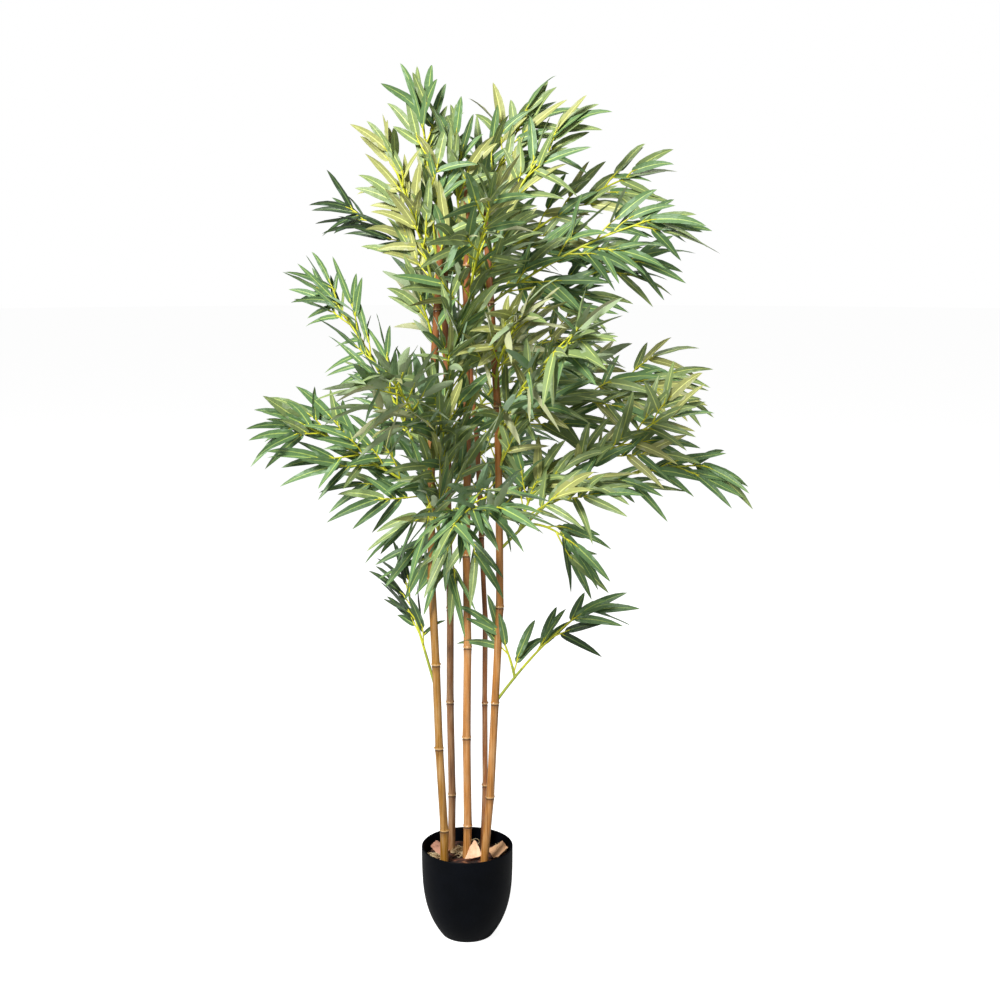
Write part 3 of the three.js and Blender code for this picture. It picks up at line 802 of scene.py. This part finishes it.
# Proportions of the branching rule.
USUAL_HALF_WIDTH = 50 * MM  # a mass this wide to each side has its twigs at the usual spacing
STEM_STOP = 0.92  # a stem stops this share of a leaf's length before the tip of its mass
SHORTEST_TWIG, LONGEST_TWIG = 26 * MM, 92 * MM
WIDEST_LEAN = 1.15  # radians between a twig and its stem
TWIG_PER_LEAF = 15 * MM
FEWEST_LEAVES, MOST_LEAVES = 2, 6  # on one twig
NEIGHBOUR_SHARES = [0.16, 0.6, 0.24]  # leaves one family lighter, of the spray's own, and one darker


def family_of(name, height, depth, rng):
    """The leaf colour of a spray, from its height, its depth, which adds painted shade towards the
    back, and a shift of its own.
    """
    # Painted shade: sprays further back get darker greens.
    darkness = np.interp(height, DARKNESS_HEIGHTS, DARKNESS_BY_HEIGHT) + PAINTED_SHADE_PER_DEPTH * depth + DARKNESS_SHIFTS.get(name, 0)
    return int(np.clip(round(darkness + rng.normal(0, 0.25)), 0, len(GREENS) - 1))


class BAMBOO_OT_sprays(bpy.types.Operator):
    """Grow the sprays: moulded stems, twigs and fabric leaves, by a seeded branching rule"""

    bl_idname = "bamboo.sprays"
    bl_label = "Sprays"

    def execute(self, context):
        settings = context.scene.bamboo_sprays
        stems, twigs, leaves = [], [], []
        for index, line in enumerate(spray_lines()):
            rng = np.random.default_rng(settings.seed * 1000 + index)
            stem, twig, leaf = self.spray(line, settings, rng)
            stems.append(stem)
            twigs.append(twig)
            leaves.append(leaf)
        self.put_stems(stems)
        self.put_twigs(twigs, leaves)
        self.put_leaves(leaves)
        return {"FINISHED"}

    def spray(self, line, settings, rng):
        """The branching rule. Twigs leave the stem to alternate sides, each third one towards the
        front or back. A twig is as long, and leans out as far, as the mass's width leaves room
        for beyond a leaf's reach. Its leaves stand to alternate sides of it, closer in towards
        its end, and the stem ends in a fan of its own."""
        reach = settings.leaf_length
        end = 1 - STEM_STOP * reach / line["length"]
        path = on_line(line["cubic"], np.linspace(0, end, 16))
        leafy = (end - line["begins"]) * line["length"]
        slim = np.clip(USUAL_HALF_WIDTH / line["half"], 0.85, 1.6)
        slim = slim / FULLNESS.get(line["name"], 1)
        count = max(3, int(round(leafy / (settings.twig_spacing * slim))))
        share = np.linspace(0.02, 1, count)
        place = line["begins"] + share * (end - line["begins"]) + rng.normal(0, 0.01, count)
        root = on_line(line["cubic"], place)
        along = unit(on_line(line["cubic"], place + 0.02) - root)
        width = unit(line["width"] - (along @ line["width"])[:, None] * along)
        over = np.cross(along, width)
        turn = np.where(np.arange(count) % 2, np.pi, 0) + rng.normal(0, 0.4, count)
        turn += np.where(np.arange(count) % 3 == 2, rng.choice([-1, 1], count) * 1.2, 0)
        outward = np.cos(turn)[:, None] * width + np.sin(turn)[:, None] * over
        room = np.hypot(line["half"] * np.cos(turn), line["thick"] * np.sin(turn))
        room = settings.spread * room * (1.05 - 0.4 * share**2) * rng.uniform(0.65, 1.25, count)
        length = np.clip(room - 8 * MM, SHORTEST_TWIG, LONGEST_TWIG)
        lean = np.arcsin(np.clip(room / (length + 0.6 * reach), 0.3, 0.85))
        lean = np.clip(lean * TWIG_LEANS.get(line["name"], 1), 0, WIDEST_LEAN)
        left = (1 - place) * line["length"] / np.cos(lean) - 0.8 * reach
        length = np.clip(length, 14 * MM, np.maximum(left, 16 * MM))
        way = unit(np.cos(lean)[:, None] * along + np.sin(lean)[:, None] * outward + 0.06 * UP)
        steps = np.linspace(0, 1, 6)[None, :, None]
        bend = (along - way) * (0.25 * length)[:, None]
        twig_path = root[:, None] + way[:, None] * length[:, None, None] * steps
        twig_path += bend[:, None] * steps**2 - 0.08 * UP * length[:, None, None] * steps**2
        parts = [self.fan(twig, normal, settings, rng) for twig, normal in zip(twig_path, over)]
        tip_way = unit(on_line(line["cubic"], 1.0) - path[-1])
        last = path[-1] + tip_way * np.linspace(-36 * MM, 0, 6)[:, None]
        parts.append(self.fan(last, over[-1], settings, rng))
        leaf = {key: np.concatenate([part[key] for part in parts]) for key in parts[0]}
        number = len(leaf["base"])
        out = leaf["base"] * (1, 1, 0) + (0, -0.05, 0)
        facing = np.einsum("ij,ij->i", leaf["flat"], unit(out) + 0.6 * UP)
        towards = np.where(facing < 0, -1, 1)[:, None] * leaf.pop("flat")
        leaf["normal"] = towards + 0.35 * UP + rng.normal(0, 0.38, (number, 3))
        leaf["size"] = leaf["size"] * self.room_left(leaf, reach)
        middle = path.mean(axis=0)
        family = family_of(line["name"], middle[2], middle[1], rng)
        mixed = family + rng.choice([-1, 0, 1], number, p=NEIGHBOUR_SHARES)
        leaf.update(
            family=np.clip(mixed, 0, len(GREENS) - 1),
            width=settings.leaf_width * rng.normal(1, 0.08, number) * leaf["size"] ** 0.5
            * LEAF_WIDTHS.get(line["name"], 1),
            length=reach * leaf.pop("size"),
            sag=settings.sag * rng.uniform(0.2, 1.8, number),
            curl=rng.uniform(0, 0.09, number),
            bow=rng.normal(0, 0.05, number),
            twist=rng.normal(0, 0.4, number),
            fold=rng.uniform(0.08, 0.36, number),
            ruffle=rng.uniform(0, 2 * np.pi, (number, 2)),
        )
        return path, twig_path, {**leaf, "name": line["name"]}

    def room_left(self, leaf, reach):
        """The share of a leaf's length that fits. Along each axis it is the way left from the
        leaf's foot to the box of the solids, plus the part it may stand proud, over the leaf's
        own run along that axis; the smallest of the three counts, between 0.5 and 1."""
        run = leaf["way"] * (reach * leaf["size"])[:, None]
        low = np.array(CAD_BOX[0]) - PROUD - leaf["base"]
        high = np.array(CAD_BOX[1]) + PROUD - leaf["base"]
        limit = np.where(run < 0, low, high)
        return np.clip(limit / np.where(run == 0, 1e-9, run), 0.5, 1).min(axis=1)

    def fan(self, twig, normal, settings, rng):
        """Leaves of one twig, from its end back: the first runs on along it, the others stand to
        alternate sides at about 30 to 50 degrees, and get smaller towards the twig's foot."""
        length = np.linalg.norm(twig[-1] - twig[0])
        number = round(length / TWIG_PER_LEAF) + rng.integers(0, 2)
        number = int(np.clip(number, FEWEST_LEAVES, MOST_LEAVES))
        order = np.arange(number)
        back = 0.72 * order / number
        place = along_path(1 - back, np.linspace(0, 1, len(twig)), twig)
        heading = unit(twig[-1] - twig[-3])
        side = unit(np.cross(heading, normal))
        spread = np.where(order == 0, 0, (0.42 + 0.09 * order) * np.where(order % 2, 1, -1))
        spread = spread * rng.choice([-1, 1]) + rng.normal(0, 0.14, number)
        roll = rng.normal(0, 0.7, number)
        sideways = np.cos(roll)[:, None] * side + np.sin(roll)[:, None] * unit(normal)
        way = np.cos(spread)[:, None] * heading + np.sin(spread)[:, None] * sideways
        way = way * (1, DEPTH_SHARE, 1) - settings.droop * (1 - np.abs(way[:, 2:])) * UP
        size = (1 - 0.3 * order / number) * rng.normal(1, 0.08, number).clip(0.75, 1.2)
        size[0] *= 0.94
        return {"base": place, "way": unit(way), "size": size,
                "flat": np.repeat(unit(normal)[None], number, axis=0)}

    def put_stems(self, stems):
        """Main stems: tubes whose radius tapers from 2.6 to 1.4 mm, olive for the first five
        rings from the cane and lime beyond."""
        paths = np.array(stems)
        share = np.linspace(0, 1, paths.shape[1])
        radii = (2.6 - 1.2 * share) * MM
        sides, rings = 8, paths.shape[1]
        points, faces = tubes(paths, np.tile(radii, (len(paths), 1)), sides)
        ring_of_face = np.tile(np.arange(rings - 1).repeat(sides), len(paths))
        lime = (ring_of_face > 4).astype(int)
        slots = np.concatenate([lime, np.tile([0, 1], len(paths))])
        materials = [moulded_polyethylene("olive_polyethylene", "#9aa63a"),
                     moulded_polyethylene("lime_polyethylene", "#c3c832")]
        piece = put_mesh("spray_stems", points, faces, materials, slots)
        settle(piece, "stem_plastic", *STEMS)

    def put_twigs(self, twigs, leaves):
        """Twigs flare at the foot and taper from 1.5 to 1 mm in radius; each leaf sits on a short
        peg of the same plastic."""
        paths = np.concatenate(twigs)
        radii = np.tile(np.linspace(1.5, 1.0, 6) * MM, (len(paths), 1))
        radii[:, 0] = 1.9 * MM
        base = np.concatenate([leaf["base"] for leaf in leaves])
        way = np.concatenate([leaf["way"] for leaf in leaves])
        reach = np.array([-2.0, 4.0, 9.0]) * MM
        pegs = base[:, None] + way[:, None] * reach[None, :, None]
        points, faces = tubes(paths, radii, 6)
        peg_radii = np.array([0.8, 0.9, 0.7]) * MM
        peg_points, peg_faces = tubes(pegs, np.tile(peg_radii, (len(pegs), 1)), 5)
        peg_faces = [face + len(points) for face in peg_faces]
        material = moulded_polyethylene("yellow_green_polyethylene", "#d0cf33")
        piece = put_mesh("spray_twigs", np.concatenate([points, peg_points]), faces + peg_faces,
                         [material])
        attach(piece, "root")

    def put_leaves(self, leaves):
        """Leaves, dealt out to three pieces by the height of their spray."""
        heights = np.array([leaf["base"][:, 2].mean() for leaf in leaves])
        materials = []
        for family, (blade, vein, back) in GREENS.items():
            materials += [dyed_polyester(f"leaf_{family}_blade", blade),
                          dyed_polyester(f"leaf_{family}_vein", vein, 0.45),
                          dyed_polyester(f"leaf_{family}_back", back, 0.6)]
        limits = {"low": (0.0, 0.9), "middle": (0.9, 1.15), "high": (1.15, 2.0)}
        for level, (low, high) in limits.items():
            chosen = [leaf for leaf, z in zip(leaves, heights) if low <= z < high]
            joined = {key: np.concatenate([leaf[key] for leaf in chosen])
                      for key in chosen[0] if key != "name"}
            points, faces, slots, across = self.leaf_mesh(joined)
            piece = put_mesh(f"leaves_{level}_canopy", points, faces, materials, slots, 50.0)
            put_mark(piece, "across", across)
            settle(piece, "leaf_fabric", *[leaf["name"] for leaf in chosen])

    def leaf_mesh(self, leaf):
        """Closed leaves of 36 faces, blunt at the foot and drawn out to a point. The centre line is
        base + L (way s - (sag s^2 + curl s^4) down + bow s^2 sideways); across, five corners: two
        edges lifted by the fold and a wave along them, two at the vein, and one under it, lower
        where the edges stand higher so that the blade keeps its thickness; the cross-section
        stands square to the line and turns by twist s. Each corner's distance from the vein is
        kept as an attribute, in metres."""
        share = np.array([0.0, 0.05, 0.17, 0.35, 0.56, 0.76, 0.91])
        outline = np.array([0.34, 0.76, 0.97, 1.0, 0.89, 0.62, 0.3])
        number = len(leaf["base"])
        fall = (0.0, 0.0, -1.0) + 0.35 * leaf["way"] * (1.0, 1.0, 0.0)
        steps = np.append(share, 1.0)[None, :, None]
        run = leaf["length"][:, None, None]
        way, fall = leaf["way"][:, None], fall[:, None]
        sag, curl = leaf["sag"][:, None, None], leaf["curl"][:, None, None]
        slip = np.einsum("ij,ij->i", leaf["normal"], leaf["way"])
        normal = unit(leaf["normal"] - slip[:, None] * leaf["way"])
        sideways = unit(np.cross(leaf["way"], normal))[:, None]
        bow = leaf["bow"][:, None, None] * sideways
        line = leaf["base"][:, None] + run * (
            way * steps + fall * (sag * steps**2 + curl * steps**4) + bow * steps**2
        )
        along = unit(way + fall * (2 * sag * steps + 4 * curl * steps**3) + 2 * bow * steps)
        side = unit(np.cross(along, normal[:, None]))
        over = np.cross(side, along)
        twist = leaf["twist"][:, None, None] * steps
        side, over = (np.cos(twist) * side + np.sin(twist) * over,
                      np.cos(twist) * over - np.sin(twist) * side)
        half = outline[None] * leaf["width"][:, None] / 2
        rib = (0.09 * half + 0.45 * MM) * (1 - 0.75 * share)
        wave = np.sin(9 * share[None, :, None] + leaf["ruffle"][:, None]) * 0.9 * MM
        lift = leaf["fold"][:, None] * half
        middle = np.zeros_like(half)
        edges = lift[..., None] + wave * outline[:, None]
        under = -0.5 * MM - 0.4 * np.abs(edges).max(axis=-1)
        x = np.stack([-half, -rib, rib, half, middle], axis=-1)
        z = np.stack([edges[..., 0], middle, middle, edges[..., 1], under], axis=-1)
        rings = line[:, :-1, None] + x[..., None] * side[:, :-1, None]
        rings = rings + z[..., None] * over[:, :-1, None]
        points = np.concatenate([rings.reshape(number, -1, 3), line[:, -1:]], axis=1)
        per = points.shape[1]
        corners = x.shape[-1]
        quads = grid_faces(len(share), corners)
        column = np.arange(corners)
        last = (len(share) - 1) * corners
        tips = np.stack([last + column, last + np.roll(column, -1), np.full(corners, per - 1)], axis=1)
        cap = column[None, ::-1]
        faces = [repeated(face, number, per) for face in (quads, tips, cap)]
        part = np.array([0, 1, 0, 2, 2])  # blade, vein, blade, back, back
        family = leaf["family"][:, None] * 3
        slots = [(family + np.tile(part, len(share) - 1)).ravel(), (family + part).ravel(),
                 (family[:, 0] + 2)]
        across = np.concatenate([x.reshape(number, -1), np.zeros((number, 1))], axis=1)
        return points.reshape(-1, 3), faces, np.concatenate(slots), across.ravel()


# ---- Stage -------------------------------------------------------------------------------------
class BAMBOO_OT_stage(bpy.types.Operator):
    """Set up the pale floor, the soft lights and the camera"""

    bl_idname = "bamboo.stage"
    bl_label = "Stage"

    def execute(self, context):
        settings = context.scene.bamboo_stage
        self.floor()
        self.light("key_softbox", (-1.5, -2.4, 2.9), (0, 0, 0.9), 0.9, 194)
        self.light("fill_softbox", (2.4, -1.8, 1.4), (0, 0, 0.8), 2.0, 14)
        self.light("top_softbox", (0.4, 0.9, 3.3), (0, 0, 1.0), 1.6, 30)
        self.surroundings(context.scene)
        camera = bpy.data.objects.new("camera", bpy.data.cameras.new("camera"))
        context.collection.objects.link(camera)
        camera.location = settings.camera
        camera.rotation_euler = (math.pi / 2 - settings.pitch, 0, 0)
        camera.data.lens = settings.lens
        camera.data.sensor_width = 36
        context.scene.camera = camera
        context.scene.view_settings.view_transform = "Standard"
        return {"FINISHED"}

    def floor(self):
        """A wide flat disc of pale paper, just under the pot. It glows for the camera only,
        which brings it close to the white surround and leaves the plant's light alone."""
        sides, radius = 64, 30.0
        rim = circle(sides)[1] * radius - 0.2 * MM * UP
        material, tree, shader, _ = new_material("pale_paper")
        seen = add(tree, "ShaderNodeLightPath").outputs["Is Camera Ray"]
        glow = add(tree, "ShaderNodeMath", {0: seen, 1: 0.92}, operation="MULTIPLY")
        fill(tree, shader, {"Base Color": linear("#c0c0bf"), "Roughness": 1.0,
                            "Specular IOR Level": 0.0, "Emission Color": linear("#ffffff"),
                            "Emission Strength": glow.outputs["Value"]})
        put_mesh("floor", rim, [np.arange(sides)[None]], [material])

    def light(self, name, place, target, size, power):
        """A square soft light that faces its target."""
        data = bpy.data.lights.new(name, "AREA")
        data.size = size
        data.energy = power
        lamp = bpy.data.objects.new(name, data)
        bpy.context.collection.objects.link(lamp)
        lamp.location = place
        way = np.array(place) - np.array(target)
        lamp.rotation_euler = (math.atan2(math.hypot(way[0], way[1]), way[2]), 0,
                               math.atan2(way[0], -way[1]))

    def surroundings(self, scene):
        """An even white surround: full white where it is seen, softer as a light."""
        world = bpy.data.worlds.new("surround")
        scene.world = world
        world.use_nodes = True
        tree = world.node_tree
        seen = add(tree, "ShaderNodeLightPath").outputs["Is Camera Ray"]
        level = add(tree, "ShaderNodeMapRange", {"Value": seen, "To Min": 0.115, "To Max": 1.0})
        fill(tree, tree.nodes["Background"],
             {"Color": linear("#ffffff"), "Strength": level.outputs["Result"]})


# ---- Panel and registration --------------------------------------------------------------------
class BAMBOO_PT_panel(bpy.types.Panel):
    """Shows each step's button with its settings"""

    bl_idname = "BAMBOO_PT_panel"
    bl_label = "Artificial Bamboo"
    bl_space_type = "VIEW_3D"
    bl_region_type = "UI"
    bl_category = "Bamboo"

    def draw(self, context):
        layout = self.layout
        for operator, group in STEPS:
            box = layout.box()
            box.operator(operator)
            settings = getattr(context.scene, group)
            for name in type(settings).__annotations__:
                box.prop(settings, name)


GROUPS = {
    "bamboo_stage": BambooStageSettings,
    "bamboo_pot": BambooPotSettings,
    "bamboo_canes": BambooCaneSettings,
    "bamboo_sprays": BambooSpraySettings,
}
STEPS = [
    ("bamboo.stage", "bamboo_stage"),
    ("bamboo.pot", "bamboo_pot"),
    ("bamboo.filling", "bamboo_pot"),
    ("bamboo.canes", "bamboo_canes"),
    ("bamboo.sprays", "bamboo_sprays"),
]
CLASSES = [
    *GROUPS.values(), BAMBOO_OT_stage, BAMBOO_OT_pot, BAMBOO_OT_filling, BAMBOO_OT_canes,
    BAMBOO_OT_sprays, BAMBOO_PT_panel,
]


def register():
    for item in CLASSES:
        bpy.utils.register_class(item)
    for name, group in GROUPS.items():
        setattr(bpy.types.Scene, name, PointerProperty(type=group))


def unregister():
    for name in GROUPS:
        delattr(bpy.types.Scene, name)
    for item in reversed(CLASSES):
        bpy.utils.unregister_class(item)


def main():
    """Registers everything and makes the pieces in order."""
    register()
    for operator, _ in STEPS:
        area, name = operator.split(".")
        getattr(getattr(bpy.ops, area), name)()


if __name__ == "__main__":
    main()
